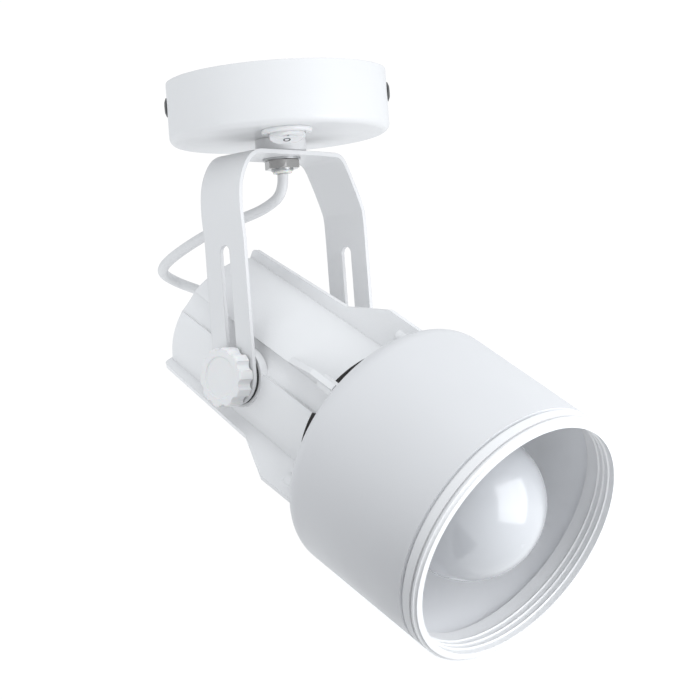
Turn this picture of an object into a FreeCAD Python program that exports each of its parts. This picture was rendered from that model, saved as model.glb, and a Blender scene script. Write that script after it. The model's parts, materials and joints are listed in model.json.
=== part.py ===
import FreeCAD, Part
import math
import os

import Sketcher

# Surface mounted ceiling spotlight, in millimetres.
# The ceiling is the plane Z = 0 and the lamp hangs below it.  X is the axis that the head tilts
# about, and the head points towards -Y and down.  The head's own pieces are drawn along their
# local Z, from the tilt axis forwards, and are turned into place together.


class Dim:
    """A size with its number and the spreadsheet expression that gives it."""

    def __init__(self, value, text):
        self.value = float(value)
        self.text = text

    @staticmethod
    def of(other):
        return other if isinstance(other, Dim) else Dim(other, repr(float(other)))

    def joined(self, other, sign, value):
        return Dim(value, "(%s %s %s)" % (self.text, sign, other.text))

    def __add__(self, other):
        other = Dim.of(other)
        return self.joined(other, "+", self.value + other.value)

    def __sub__(self, other):
        other = Dim.of(other)
        return self.joined(other, "-", self.value - other.value)

    def __mul__(self, other):
        other = Dim.of(other)
        return self.joined(other, "*", self.value * other.value)

    def __truediv__(self, other):
        other = Dim.of(other)
        return self.joined(other, "/", self.value / other.value)

    def __neg__(self):
        return Dim(-self.value, "(0 - %s)" % self.text)


def cosine(angle):
    return Dim(math.cos(math.radians(angle.value)), "cos(%s)" % angle.text)


def sine(angle):
    return Dim(math.sin(math.radians(angle.value)), "sin(%s)" % angle.text)


def tangent(angle):
    return Dim(math.tan(math.radians(angle.value)), "tan(%s)" % angle.text)


def root(number):
    return Dim(math.sqrt(number.value), "sqrt(%s)" % number.text)


SIZES = {
    # canopy
    "canopy_radius": 50.0,
    "canopy_height": 28.0,
    "canopy_wall": 1.2,
    "canopy_edge": 3.6,
    "canopy_clock": 135.0,
    "side_screw_drop": 10.0,
    "side_screw_head": 4.4,
    "side_screw_rise": 1.1,
    "side_screw_shank": 2.0,
    "side_screw_length": 7.0,
    # ceiling bracket and the terminal block on it
    "bracket_width": 20.0,
    "bracket_thickness": 2.0,
    "bracket_tab": 17.0,
    "ceiling_hole_pitch": 66.0,
    "ceiling_hole": 2.3,
    "wire_hole": 5.0,
    "block_place": 15.5,
    "block_length": 15.0,
    "block_width": 26.0,
    "block_height": 11.0,
    "block_pitch": 8.0,
    "block_poles": 3.0,
    "wire_entry": 1.6,
    "block_screw": 1.9,
    # rocker switch
    "switch_place": 32.0,
    "switch_turn": 96.0,
    "bezel_radius": 11.2,
    "bezel_rise": 2.0,
    "bezel_edge": 1.2,
    "switch_radius": 9.6,
    "switch_depth": 15.0,
    "switch_blade_width": 5.0,
    "switch_blade_length": 7.0,
    "switch_blade_pitch": 7.0,
    "rocker_radius": 7.9,
    "rocker_gap": 0.45,
    "rocker_depth": 2.2,
    "rocker_valley": 1.4,
    "rocker_pin": 1.2,
    "rocker_throw": 18.0,
    # nipple and what it clamps
    "nipple_radius": 5.0,
    "nipple_bore": 3.4,
    "nipple_above": 6.2,
    "nipple_below": 0.8,
    "lock_nut_height": 3.0,
    "spacer_radius": 11.5,
    "spacer_length": 6.9,
    "washer_radius": 8.6,
    "washer_thickness": 0.9,
    "nut_flats": 14.0,
    "nut_height": 4.0,
    "nut_bevel": 0.6,
    "bush_flange": 4.4,
    "bush_lip": 1.2,
    "bush_depth": 5.0,
    "running_fit": 0.08,
    "free_fit": 0.3,
    "face_play": 0.06,
    # yoke strap
    "strap_width": 25.0,
    "strap_thickness": 2.0,
    "plate_half": 25.0,
    "arm_half": 39.5,
    "shoulder_angle": 58.5,
    "bend_radius": 4.0,
    "crease_radius": 1.0,
    "pivot_drop": 99.9,
    "slot_width": 6.0,
    "slot_travel": 55.0,
    # clamp at each arm
    "stud_radius": 2.9,
    "stud_into_knob": 4.5,
    "slot_washer_radius": 14.4,
    "slot_washer_thickness": 1.5,
    "clamp_washer_radius": 8.0,
    "clamp_washer_thickness": 1.0,
    "knob_radius": 13.2,
    "knob_thickness": 7.4,
    "knob_edge": 0.9,
    "knob_dish": 9.4,
    "knob_dish_depth": 0.5,
    "knob_hub": 7.5,
    "knob_skirt": 10.6,
    "knob_recess": 2.4,
    "knob_scallop": 2.9,
    "knob_scallop_place": 14.7,
    "knob_scallops": 10.0,
    "insert_length": 10.0,
    "insert_radius": 4.4,
    # rear housing
    "head_tilt": 32.6,
    "barrel_rear": 50.0,
    "barrel_front": 46.0,
    "barrel_radius_rear": 34.4,
    "barrel_radius_front": 36.2,
    "barrel_bore": 31.2,
    "rear_wall": 2.6,
    "rear_edge": 2.0,
    "pad_radius": 13.5,
    "pad_depth": 4.3,
    "pad_boss": 7.0,
    "channel_floor": 33.1,
    "channel_low": 12.0,
    "channel_high": 29.5,
    "fin_thickness": 2.8,
    "fin_root": 1.0,
    "fin_height_rear": 38.5,
    "fin_height": 41.5,
    "fin_height_front": 52.2,
    "fin_flare_start": 14.0,
    "fin_flare_end": 38.0,
    "fin_tongue": 39.0,
    "short_fin_start": 20.0,
    "short_fin_end": 45.0,
    "side_fin_drop": 33.0,
    "side_fin_rise": 32.0,
    "foot_radius": 3.4,
    "foot_place": 44.6,
    "foot_length": 12.0,
    "foot_screw": 1.4,
    "foot_screw_head": 2.7,
    "foot_screw_length": 8.0,
    "post_radius": 3.0,
    "post_place": 26.6,
    # front shade and its screwed ring
    "shade_rear": 59.6,
    "shade_radius": 58.5,
    "shade_wall": 1.6,
    "shade_shoulder": 10.7,
    "shade_opening": 40.4,
    "shade_front": 136.8,
    "ring_back": 138.4,
    "mouth": 145.8,
    "ring_bore": 54.3,
    "ring_rear": 129.8,
    "ring_groove_place": 142.6,
    "ring_groove_width": 1.0,
    "ring_groove_depth": 0.9,
    "ring_edge": 1.3,
    "ring_ridge": 0.7,
    "ring_ridge_place": 136.6,
    "ring_ridge_width": 1.1,
    "ring_ridge_pitch": 3.0,
    # lamp holder
    "carrier_place": 8.2,
    "carrier_thickness": 1.6,
    "carrier_hole": 7.0,
    "holder_radius": 19.0,
    "holder_flange": 21.5,
    "holder_flange_length": 5.0,
    "holder_front": 54.0,
    "holder_bore": 15.4,
    "holder_base": 8.0,
    "shell_wall": 0.6,
    "shell_gap": 0.25,
    "shell_front": 45.0,
    "contact_radius": 3.6,
    "contact_stem": 1.3,
    "holder_screw_place": 14.5,
    # lamp
    "lamp_radius": 32.8,
    "lamp_front": 147.2,
    "lamp_seam": 99.0,
    "lamp_skin": 1.4,
    "collar_radius": 14.4,
    "collar_rear": 48.0,
    "collar_front": 56.0,
    "cap_radius": 13.1,
    "cap_rear": 27.4,
    "cap_wall": 0.5,
    "tip_rear": 20.9,
    "tip_height": 1.6,
    "tip_radius": 4.8,
    "insulator_radius": 11.2,
    # cord and its gland
    "gland_radius": 6.2,
    "gland_flange": 9.0,
    "gland_lip": 2.0,
    "gland_nose": 5.6,
    "gland_length": 8.0,
    "gland_nut_flats": 18.0,
    "gland_nut_height": 3.0,
    "cord_radius": 2.45,
    "cord_tail": 24.0,
}

doc = FreeCAD.newDocument("Spotlight")
sheet = doc.addObject("Spreadsheet::Sheet", "Sizes")
for row, (alias, value) in enumerate(SIZES.items(), start=1):
    sheet.set("A%d" % row, alias)
    sheet.set("B%d" % row, repr(value))
    sheet.setAlias("B%d" % row, alias)
doc.recompute()
D = {alias: Dim(value, "Sizes." + alias) for alias, value in SIZES.items()}

# places that several pieces share
canopy_floor = -D["canopy_height"]
strap_top = canopy_floor - D["spacer_length"]
strap_bottom = strap_top - D["strap_thickness"]
nut_top = strap_bottom - D["washer_thickness"]
nut_bottom = nut_top - D["nut_height"]
nipple_end = nut_bottom - D["nipple_below"]
pivot_z = strap_top - D["pivot_drop"]
arm_inner = D["arm_half"] - D["strap_thickness"]
pad_face = arm_inner - D["slot_washer_thickness"] - D["face_play"] * 2
knob_back = D["arm_half"] + D["clamp_washer_thickness"]
knob_front = knob_back + D["knob_thickness"]
REACH = Dim(200.0, "200.0")
ZERO = Dim(0.0, "0.0")
FULL_TURN = Dim(360.0, "360.0")

made = []


def place(thing, base=(ZERO, ZERO, ZERO), axis=(0, 0, 1), angle=ZERO):
    """Put a piece at a place and turn it about an axis, both bound to the sheet."""
    centre = FreeCAD.Vector(*[part.value for part in base])
    turn = FreeCAD.Rotation(FreeCAD.Vector(*axis), angle.value)
    thing.Placement = FreeCAD.Placement(centre, turn)
    for name, part in zip("xyz", base):
        if part is not ZERO:
            thing.setExpression("Placement.Base." + name, part.text)
    if angle is not ZERO:
        thing.setExpression("Placement.Rotation.Angle", angle.text)


def new_body(label, **where):
    body = doc.addObject("PartDesign::Body", label)
    body.Label = label
    place(body, **where)
    made.append(body)
    return body


def head_body(label):
    """A body drawn along the head's own axis, turned down into place about the tilt axis."""
    return new_body(label, base=(ZERO, ZERO, pivot_z), axis=(1, 0, 0), angle=D["head_tilt"] + 90.0)


def origin_plane(body, role):
    for feature in body.Origin.OriginFeatures:
        if feature.Role == role:
            return feature
    raise ValueError(role)


def new_sketch(body, role, offset=ZERO):
    """A sketch on one of the body's own planes, moved along its normal by the offset."""
    sketch = body.newObject("Sketcher::SketchObject", body.Name + "Sketch")
    sketch.AttachmentSupport = [(origin_plane(body, role), "")]
    sketch.MapMode = "FlatFace"
    if offset is not ZERO:
        sketch.AttachmentOffset.Base.z = offset.value
        sketch.setExpression("AttachmentOffset.Base.z", offset.text)
    return sketch


def fix_point(sketch, geometry, end, x, y):
    """Hold a sketch point at a place that the sheet gives."""
    for kind, size, on_axis in (("DistanceX", x, -2), ("DistanceY", y, -1)):
        if abs(size.value) < 1e-9:
            sketch.addConstraint(Sketcher.Constraint("PointOnObject", geometry, end, on_axis))
            continue
        index = sketch.addConstraint(
            Sketcher.Constraint(kind, -1, 1, geometry, end, size.value))
        sketch.setExpression("Constraints[%d]" % index, size.text)


def circle(sketch, x, y, radius):
    centre = FreeCAD.Vector(x.value, y.value, 0)
    index = sketch.addGeometry(Part.Circle(centre, FreeCAD.Vector(0, 0, 1), radius.value))
    fix_point(sketch, index, 3, x, y)
    bound = sketch.addConstraint(Sketcher.Constraint("Radius", index, radius.value))
    sketch.setExpression("Constraints[%d]" % bound, radius.text)


def arc_middle(start, end, radius, left):
    """The point half way round an arc that bulges to the left or right of its chord."""
    chord = end - start
    half = chord.Length / 2
    rise = radius - math.sqrt(max(radius * radius - half * half, 0.0))
    side = FreeCAD.Vector(-chord.y, chord.x, 0).normalize()
    return (start + end) * 0.5 + side * (rise if left else -rise)


def is_half_round(start, end, radius):
    return abs(start.distanceToPoint(end) - radius * 2) < 1e-6


def outline(sketch, corners):
    """A closed outline.  A corner is (x, y), or (x, y, radius, left) where an arc leads to it."""
    points = [(Dim.of(corner[0]), Dim.of(corner[1])) for corner in corners]
    spots = [FreeCAD.Vector(x.value, y.value, 0) for x, y in points]
    edges = []
    for number, corner in enumerate(corners):
        start, end = spots[number - 1], spots[number]
        if len(corner) == 2:
            edge = sketch.addGeometry(Part.LineSegment(start, end))
            edges.append((edge, 1, 2))
            continue
        middle = arc_middle(start, end, corner[2].value, corner[3])
        edge = sketch.addGeometry(Part.Arc(start, middle, end))
        forward = sketch.getPoint(edge, 1).distanceToPoint(start) < 1e-6
        edges.append((edge, 1, 2) if forward else (edge, 2, 1))
    for number, (edge, first, last) in enumerate(edges):
        before, _, before_last = edges[number - 1]
        sketch.addConstraint(Sketcher.Constraint("Coincident", before, before_last, edge, first))
        fix_point(sketch, edge, last, *points[number])
        if len(corners[number]) > 2 and is_half_round(spots[number - 1], spots[number],
                                                      corners[number][2].value):
            level = abs(spots[number].y - spots[number - 1].y) < 1e-6
            kind = "Horizontal" if level else "Vertical"
            sketch.addConstraint(Sketcher.Constraint(kind, edge, 3, edge, last))
        elif len(corners[number]) > 2:
            radius = corners[number][2]
            bound = sketch.addConstraint(Sketcher.Constraint("Radius", edge, radius.value))
            sketch.setExpression("Constraints[%d]" % bound, radius.text)


def feature(body, kind, sketch, **settings):
    """A PartDesign feature of a sketch, its numbers bound to the sheet."""
    item = body.newObject("PartDesign::" + kind, body.Name + kind)
    item.Profile = sketch
    for name, value in settings.items():
        if isinstance(value, Dim):
            setattr(item, name, value.value)
            item.setExpression(name, value.text)
        else:
            setattr(item, name, value)
    sketch.Visibility = False
    body.Tip = item
    doc.recompute()
    return item


def pad(body, sketch, length, **settings):
    return feature(body, "Pad", sketch, Length=length, **settings)


def pocket(body, sketch, length, **settings):
    return feature(body, "Pocket", sketch, Length=length, **settings)


def revolve(body, sketch, kind="Revolution"):
    return feature(body, kind, sketch, ReferenceAxis=(sketch, ["V_Axis"]), Angle=FULL_TURN)


def profile(label, corners, maker=new_body, **where):
    """A turned piece: the outline of half its section, revolved about its own Z."""
    body = maker(label, **where)
    sketch = new_sketch(body, "XZ_Plane")
    outline(sketch, corners)
    revolve(body, sketch)
    return body


def polar(body, item, count):
    pattern = body.newObject("PartDesign::PolarPattern", body.Name + "Polar")
    pattern.Originals = [item]
    pattern.Axis = (origin_axis(body, "Z_Axis"), [""])
    pattern.Angle = 360
    pattern.Occurrences = int(count.value)
    pattern.setExpression("Occurrences", count.text)
    body.Tip = pattern
    doc.recompute()
    return pattern


def origin_axis(body, role):
    return origin_plane(body, role)


def round_edges(body, radius, chosen, kind="Fillet"):
    """Round or bevel the edges of a body that the given test picks."""
    tip = body.Tip
    names = ["Edge%d" % (number + 1) for number, edge in enumerate(tip.Shape.Edges) if chosen(edge)]
    if not names:
        raise ValueError("no edge to round on " + body.Label)
    item = body.newObject("PartDesign::" + kind, body.Name + kind)
    item.Base = (tip, names)
    size = "Radius" if kind == "Fillet" else "Size"
    setattr(item, size, radius.value)
    item.setExpression(size, radius.text)
    body.Tip = item
    doc.recompute()
    return item


def is_circle(edge, radius, height):
    """Whether an edge is a circle of that radius at that height on the body's own Z."""
    curve = edge.Curve
    if not isinstance(curve, Part.Circle):
        return False
    return abs(curve.Radius - radius) < 0.01 and abs(curve.Center.z - height) < 0.01


def ring_corners(inner, outer, low, high):
    return [(inner, low), (outer, low), (outer, high), (inner, high)]


def tag_slot(width, low, high):
    """The outline of a slot along the sketch's vertical, between its two end centres."""
    half = width / 2
    return [(half, low, half, False), (half, high), (-half, high, half, False), (-half, low)]


def both_sides(body, items):
    mirror = body.newObject("PartDesign::Mirrored", body.Name + "Mirror")
    mirror.Originals = items
    mirror.MirrorPlane = (origin_plane(body, "YZ_Plane"), [""])
    body.Tip = mirror
    doc.recompute()
    return mirror


def part_group(label, members):
    """Several equal pieces kept as separate solids of one sub-part."""
    for member in members:
        made.remove(member)
    group = doc.addObject("Part::Compound", label)
    group.Label = label
    group.Links = members
    made.append(group)
    return group


def hexagon(sketch, flats, bore):
    """A hexagon across the given flats, with a round hole at its centre."""
    corner = flats / root(Dim(3.0, "3.0"))
    half = corner / 2
    side = flats / 2
    outline(sketch, [(corner, 0), (half, side), (-half, side), (-corner, 0), (-half, -side),
                     (half, -side)])
    circle(sketch, ZERO, ZERO, bore)


def hex_nut(label, maker, low, flats, height, bore, bevel):
    body = maker(label)
    sketch = new_sketch(body, "XY_Plane", low)
    hexagon(sketch, flats, bore)
    pad(body, sketch, height)
    corner = flats / root(Dim(3.0, "3.0"))
    sketch = new_sketch(body, "XZ_Plane")
    rim = corner + 1.0
    edge = flats / 2
    outline(sketch, [(edge, low + height), (rim, low + height), (rim, low + height - bevel)])
    revolve(body, sketch, "Groove")
    sketch = new_sketch(body, "XZ_Plane")
    outline(sketch, [(edge, low), (rim, low), (rim, low + bevel)])
    revolve(body, sketch, "Groove")
    return body


def canopy_body(label, along=ZERO, drop=ZERO):
    """A body turned with the line through the two side screws."""
    return new_body(label, base=(ZERO, ZERO, drop), axis=(0, 0, 1), angle=D["canopy_clock"] + along)


def make_canopy_cup():
    radius, wall, edge = D["canopy_radius"], D["canopy_wall"], D["canopy_edge"]
    hole = D["nipple_radius"] + D["running_fit"]
    floor = canopy_floor
    inner_edge = edge - wall
    body = canopy_body("canopy_cup")
    sketch = new_sketch(body, "XZ_Plane")
    outline(sketch, [(hole, floor), (radius - edge, floor), (radius, floor + edge, edge, False),
                     (radius, 0), (radius - wall, 0), (radius - wall, floor + edge),
                     (radius - edge, floor + wall, inner_edge, True), (hole, floor + wall)])
    revolve(body, sketch)
    turn = D["switch_turn"]
    place_x = D["switch_place"] * cosine(turn)
    place_y = D["switch_place"] * sine(turn)
    sketch = new_sketch(body, "XY_Plane", floor)
    circle(sketch, place_x, place_y, D["switch_radius"] + D["running_fit"])
    pocket(body, sketch, wall * 2, Midplane=True)
    sketch = new_sketch(body, "YZ_Plane")
    circle(sketch, ZERO, -D["side_screw_drop"], D["side_screw_shank"] + D["running_fit"])
    pocket(body, sketch, radius * 3, Midplane=True)
    return body


def bracket_end():
    """How far the bracket's tabs reach inside the round wall, given their width."""
    inner = D["canopy_radius"] - D["canopy_wall"]
    half = D["bracket_width"] / 2
    return root(inner * inner - half * half) - D["free_fit"]


def make_ceiling_bracket():
    end, thick, tab = bracket_end(), D["bracket_thickness"], D["bracket_tab"]
    body = canopy_body("ceiling_bracket")
    sketch = new_sketch(body, "XZ_Plane")
    outline(sketch, [(end, 0), (end, -tab), (end - thick, -tab), (end - thick, -thick),
                     (thick - end, -thick), (thick - end, -tab), (-end, -tab), (-end, 0)])
    pad(body, sketch, D["bracket_width"], Midplane=True)
    half_pitch = D["ceiling_hole_pitch"] / 2
    sketch = new_sketch(body, "XY_Plane")
    circle(sketch, half_pitch, ZERO, D["ceiling_hole"])
    circle(sketch, -half_pitch, ZERO, D["ceiling_hole"])
    circle(sketch, ZERO, ZERO, D["wire_hole"])
    pocket(body, sketch, thick * 3, Midplane=True)
    sketch = new_sketch(body, "YZ_Plane")
    circle(sketch, ZERO, -D["side_screw_drop"], D["side_screw_shank"] + D["running_fit"])
    pocket(body, sketch, end * 3, Midplane=True)
    return body


def make_side_screws():
    shank, head, rise = D["side_screw_shank"], D["side_screw_head"], D["side_screw_rise"]
    seat = D["canopy_radius"]
    screws = []
    for number, side in enumerate((1, -1), start=1):
        body = new_body("side_screw_%d" % number, base=(ZERO, ZERO, -D["side_screw_drop"]))
        turn = FreeCAD.Rotation(FreeCAD.Vector(0, 0, 1), D["canopy_clock"].value)
        lean = FreeCAD.Rotation(FreeCAD.Vector(0, 1, 0), 90.0 * side)
        body.Placement.Rotation = turn.multiply(lean)
        sketch = new_sketch(body, "XZ_Plane")
        tip = seat - D["side_screw_length"]
        outline(sketch, [(0, tip), (shank, tip), (shank, seat), (head, seat),
                         (head, seat + rise / 3), (head * 0.6, seat + rise), (0, seat + rise)])
        revolve(body, sketch)
        screws.append(body)
    return part_group("canopy_side_screws", screws)


def pole_places(count, pitch):
    first = (count - 1.0) * pitch / 2
    return [pitch * float(number) - first for number in range(int(count.value))]


def make_terminal_block():
    top = -D["bracket_thickness"]
    length, width = D["block_length"], D["block_width"]
    near, far = D["block_place"] - length / 2, D["block_place"] + length / 2
    body = canopy_body("terminal_block")
    sketch = new_sketch(body, "XZ_Plane")
    step = D["block_height"] * 0.7
    inset = length / 5
    outline(sketch, [(near, top), (far, top), (far, top - step), (far - inset, top - step),
                     (far - inset, top - D["block_height"]),
                     (near + inset, top - D["block_height"]), (near + inset, top - step),
                     (near, top - step)])
    pad(body, sketch, width, Midplane=True)
    entries = new_sketch(body, "YZ_Plane")
    wells = new_sketch(body, "XY_Plane", top - D["block_height"])
    for spot in pole_places(D["block_poles"], D["block_pitch"]):
        circle(entries, spot, top - step / 2, D["wire_entry"])
        circle(wells, D["block_place"], spot, D["block_screw"] + D["running_fit"])
    pocket(body, entries, far * 3, Midplane=True)
    pocket(body, wells, D["block_height"] * 0.5, Reversed=True)
    return body


def make_terminal_screws():
    floor = -D["bracket_thickness"] - D["block_height"] * 0.5
    height = D["block_height"] * 0.4
    screws = []
    for number, spot in enumerate(pole_places(D["block_poles"], D["block_pitch"]), start=1):
        body = canopy_body("terminal_screw_%d" % number)
        sketch = new_sketch(body, "XY_Plane", floor - height)
        circle(sketch, D["block_place"], spot, D["block_screw"])
        pad(body, sketch, height)
        screws.append(body)
    return part_group("terminal_screws", screws)


def switch_part(label, drop=ZERO, tilt=None):
    """A body with its own X along the canopy radius that the switch lies on."""
    body = canopy_body(label, along=D["switch_turn"])
    turn = D["canopy_clock"] + D["switch_turn"]
    for name, size in (("x", D["switch_place"] * cosine(turn)),
                       ("y", D["switch_place"] * sine(turn)), ("z", canopy_floor + drop)):
        setattr(body.Placement.Base, name, size.value)
        body.setExpression("Placement.Base." + name, size.text)
    return body


def make_switch_case():
    radius, bezel, rise = D["switch_radius"], D["bezel_radius"], D["bezel_rise"]
    depth, edge, wall = D["switch_depth"], D["bezel_edge"], D["canopy_wall"]
    well = D["rocker_radius"] + D["rocker_gap"]
    floor = D["rocker_depth"] + D["rocker_pin"] * 2
    body = switch_part("switch_case")
    sketch = new_sketch(body, "XZ_Plane")
    play = D["face_play"]
    outline(sketch, [(0, floor), (well, floor), (well, -rise), (bezel - edge, -rise),
                     (bezel, edge - rise, edge, False), (bezel, -play), (radius, -play),
                     (radius, depth), (0, depth)])
    revolve(body, sketch)
    sketch = new_sketch(body, "XZ_Plane")
    circle(sketch, ZERO, ZERO, D["rocker_pin"] + D["running_fit"])
    span = (radius - rocker_pin_end_gap()) * 2
    pocket(body, sketch, span, Midplane=True)
    return body


def rocker_pin_end_gap():
    return D["free_fit"]


def make_switch_blades():
    blades = []
    thick = D["bracket_thickness"] * 0.4
    for number, side in enumerate((-1.0, 1.0), start=1):
        body = switch_part("switch_blade_%d" % number)
        spot = D["switch_blade_pitch"] / 2 * side
        half = D["switch_blade_width"] / 2
        sketch = new_sketch(body, "XY_Plane", D["switch_depth"])
        outline(sketch, [(spot - thick / 2, -half), (spot + thick / 2, -half),
                         (spot + thick / 2, half), (spot - thick / 2, half)])
        pad(body, sketch, D["switch_blade_length"])
        blades.append(body)
    return part_group("switch_blades", blades)


def make_switch_rocker():
    """The rocker, drawn level and tilted about its pin to the side that is pressed."""
    radius, back, pin = D["rocker_radius"], D["rocker_depth"], D["rocker_pin"]
    lean = D["rocker_throw"] / 2
    valley = -(D["bezel_rise"] + D["rocker_valley"])
    body = switch_part("switch_rocker")
    turn = FreeCAD.Rotation(FreeCAD.Vector(0, 0, 1), (D["canopy_clock"] + D["switch_turn"]).value)
    tilt = FreeCAD.Rotation(FreeCAD.Vector(0, 1, 0), -lean.value)
    body.setExpression("Placement.Rotation.Angle", None)
    body.Placement.Rotation = turn.multiply(tilt)
    reach = radius * 0.93
    end = valley - reach * tangent(lean)
    upper = root(radius * radius - back * back)
    swing = root(reach * reach + end * end)
    side = root(swing * swing - back * back)
    sketch = new_sketch(body, "XZ_Plane")
    outline(sketch, [(0, valley), (reach, end), (side, back, swing, False), (-side, back),
                     (-reach, end, swing, False)])
    pad(body, sketch, radius * 2, Midplane=True)
    sketch = new_sketch(body, "XY_Plane")
    circle(sketch, ZERO, ZERO, radius)
    circle(sketch, ZERO, ZERO, radius * 2)
    pocket(body, sketch, radius * 4, Midplane=True)
    sketch = new_sketch(body, "XZ_Plane")
    circle(sketch, ZERO, ZERO, pin)
    span = (D["switch_radius"] - rocker_pin_end_gap() * 2) * 2
    pad(body, sketch, span, Midplane=True)
    return body


def make_nipple():
    outer, bore = D["nipple_radius"], D["nipple_bore"]
    top = canopy_floor + D["nipple_above"]
    return profile("hollow_nipple", ring_corners(bore, outer, nipple_end, top))


def make_nipple_stack():
    bore = D["nipple_radius"] + D["running_fit"]
    play = D["face_play"]
    washer, thick = D["washer_radius"], D["washer_thickness"]
    seat = canopy_floor + D["canopy_wall"] + play
    profile("spring_washer", ring_corners(bore, washer, seat, seat + thick))
    hex_nut("inner_lock_nut", new_body, seat + thick, D["nut_flats"], D["lock_nut_height"], bore,
            D["nut_bevel"])
    top = canopy_floor - play
    edge = D["bezel_edge"]
    spacer = D["spacer_radius"]
    profile("spacer_collar", [(bore, strap_top), (spacer - edge, strap_top),
                              (spacer, strap_top + edge, edge, False), (spacer, top),
                              (bore, top)])
    profile("strap_washer", ring_corners(bore, washer, nut_top, strap_bottom))
    hex_nut("lower_nut", new_body, nut_bottom, D["nut_flats"], D["nut_height"], bore,
            D["nut_bevel"])


def make_nipple_bush():
    hole = D["cord_radius"] + D["running_fit"]
    sleeve = D["nipple_bore"] - D["running_fit"]
    flange, lip = D["bush_flange"], D["bush_lip"]
    low = nipple_end - lip
    return profile("nipple_bush", [(hole, low), (flange - lip / 2, low),
                                   (flange, low + lip / 2, lip / 2, False), (flange, nipple_end),
                                   (sleeve, nipple_end), (sleeve, nipple_end + D["bush_depth"]),
                                   (hole, nipple_end + D["bush_depth"])])


def strap_corners():
    """The strap's bent outline on the +X side, its top face first and its inner face back."""
    half = D["strap_thickness"] / 2
    slope = D["shoulder_angle"]
    middle = strap_top - half
    bend = D["plate_half"]
    arm = D["arm_half"] - half
    crease = middle - (arm - bend) * tangent(slope)
    shift = half * tangent(slope / 2)
    drop = half * tangent((Dim(90.0, "90.0") - slope) / 2)
    low = pivot_z - D["strap_width"] / 2
    upper = [(bend + shift, strap_top), (arm + half, crease + drop), (arm + half, low)]
    lower = [(arm - half, low), (arm - half, crease - drop), (bend - shift, strap_bottom)]
    return upper, lower


def make_strap():
    upper, lower = strap_corners()
    mirrored = [(-x, z) for x, z in reversed(upper + lower)]
    body = new_body("yoke_strap")
    sketch = new_sketch(body, "XZ_Plane")
    outline(sketch, upper + lower + mirrored)
    pad(body, sketch, D["strap_width"], Midplane=True)
    inner, thick = D["bend_radius"], D["strap_thickness"]
    crease = D["crease_radius"]
    for (x, z), radius in ((upper[0], inner + thick), (lower[2], inner),
                           (upper[1], crease + thick), (lower[1], crease)):
        round_edges(body, radius, lambda edge: is_cross_edge(edge, x.value, z.value))
    half = D["strap_width"] / 2
    out = half + 1.0
    low = pivot_z - half
    sketch = new_sketch(body, "YZ_Plane")
    outline(sketch, [(-out, pivot_z), (-half, pivot_z), (half, pivot_z, half, False),
                     (out, pivot_z), (out, low - 1.0), (-out, low - 1.0)])
    pocket(body, sketch, D["arm_half"] * 3, Midplane=True)
    sketch = new_sketch(body, "YZ_Plane")
    outline(sketch, tag_slot(D["slot_width"], pivot_z, pivot_z + D["slot_travel"]))
    pocket(body, sketch, D["arm_half"] * 3, Midplane=True)
    sketch = new_sketch(body, "XY_Plane", strap_top)
    circle(sketch, ZERO, ZERO, D["nipple_radius"] + D["running_fit"])
    pocket(body, sketch, thick * 3, Midplane=True)
    return body


def is_cross_edge(edge, x, z):
    """Whether a straight edge runs along Y at that distance from the middle and that height."""
    if len(edge.Vertexes) != 2:
        return False
    first, last = [vertex.Point for vertex in edge.Vertexes]
    along = abs(first.x - last.x) + abs(first.z - last.z) < 1e-4
    return along and abs(abs(first.x) - x) < 0.01 and abs(first.z - z) < 0.01


def side_body(side):
    """A maker of bodies drawn outwards along the tilt axis, to the left or to the right."""
    def maker(label):
        return new_body(label, base=(ZERO, ZERO, pivot_z), axis=(0, side, 0),
                        angle=Dim(90.0, "90.0"))
    return maker


def make_clamp(side, name):
    maker = side_body(side)
    play, fit = D["face_play"], D["running_fit"]
    stud = D["stud_radius"]
    hole = stud + fit
    profile("friction_washer_" + name,
            ring_corners(hole, D["slot_washer_radius"], arm_inner - D["slot_washer_thickness"] - play,
                         arm_inner - play), maker)
    outer = D["arm_half"] + play
    profile("clamp_washer_" + name,
            ring_corners(hole, D["clamp_washer_radius"], outer, knob_back), maker)
    deep = pad_face - D["insert_length"] + 1.0
    profile("clamp_stud_" + name,
            [(0, deep), (stud - 0.5, deep), (stud, deep + 0.5), (stud, knob_back + D["stud_into_knob"]),
             (0, knob_back + D["stud_into_knob"])], maker)
    make_knob("clamp_knob_" + name, maker)
    profile("pivot_insert_" + name,
            ring_corners(hole, D["insert_radius"], pad_face - D["insert_length"], pad_face), maker)


def make_knob(label, maker):
    radius, edge = D["knob_radius"], D["knob_edge"]
    dish, depth = D["knob_dish"], D["knob_dish_depth"]
    hole = D["stud_radius"] + D["running_fit"]
    top = knob_back + D["stud_into_knob"] + D["running_fit"]
    recess = knob_back + D["knob_recess"]
    body = profile(label, [
        (0, top), (hole, top), (hole, knob_back), (D["knob_hub"], knob_back),
        (D["knob_hub"], recess), (D["knob_skirt"], recess), (D["knob_skirt"], knob_back),
        (radius, knob_back), (radius, knob_front - edge), (radius - edge, knob_front, edge, False),
        (dish, knob_front), (dish - depth, knob_front - depth), (0, knob_front - depth)], maker)
    sketch = new_sketch(body, "XY_Plane", knob_back)
    circle(sketch, D["knob_scallop_place"], ZERO, D["knob_scallop"])
    cut = pocket(body, sketch, D["knob_thickness"] * 3, Midplane=True)
    polar(body, cut, D["knob_scallops"])
    return body


def turned(radius, degrees):
    """A point on a circle round the head's axis; 0 is to the right and 90 is up."""
    return radius * cosine(degrees), radius * sine(degrees)


def fin_angles():
    up, flat = Dim(90.0, "90.0"), Dim(180.0, "180.0")
    low, high = D["side_fin_drop"], D["side_fin_rise"]
    full = [up, flat + low, -low]
    short = [flat - high, high]
    return full, short


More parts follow.
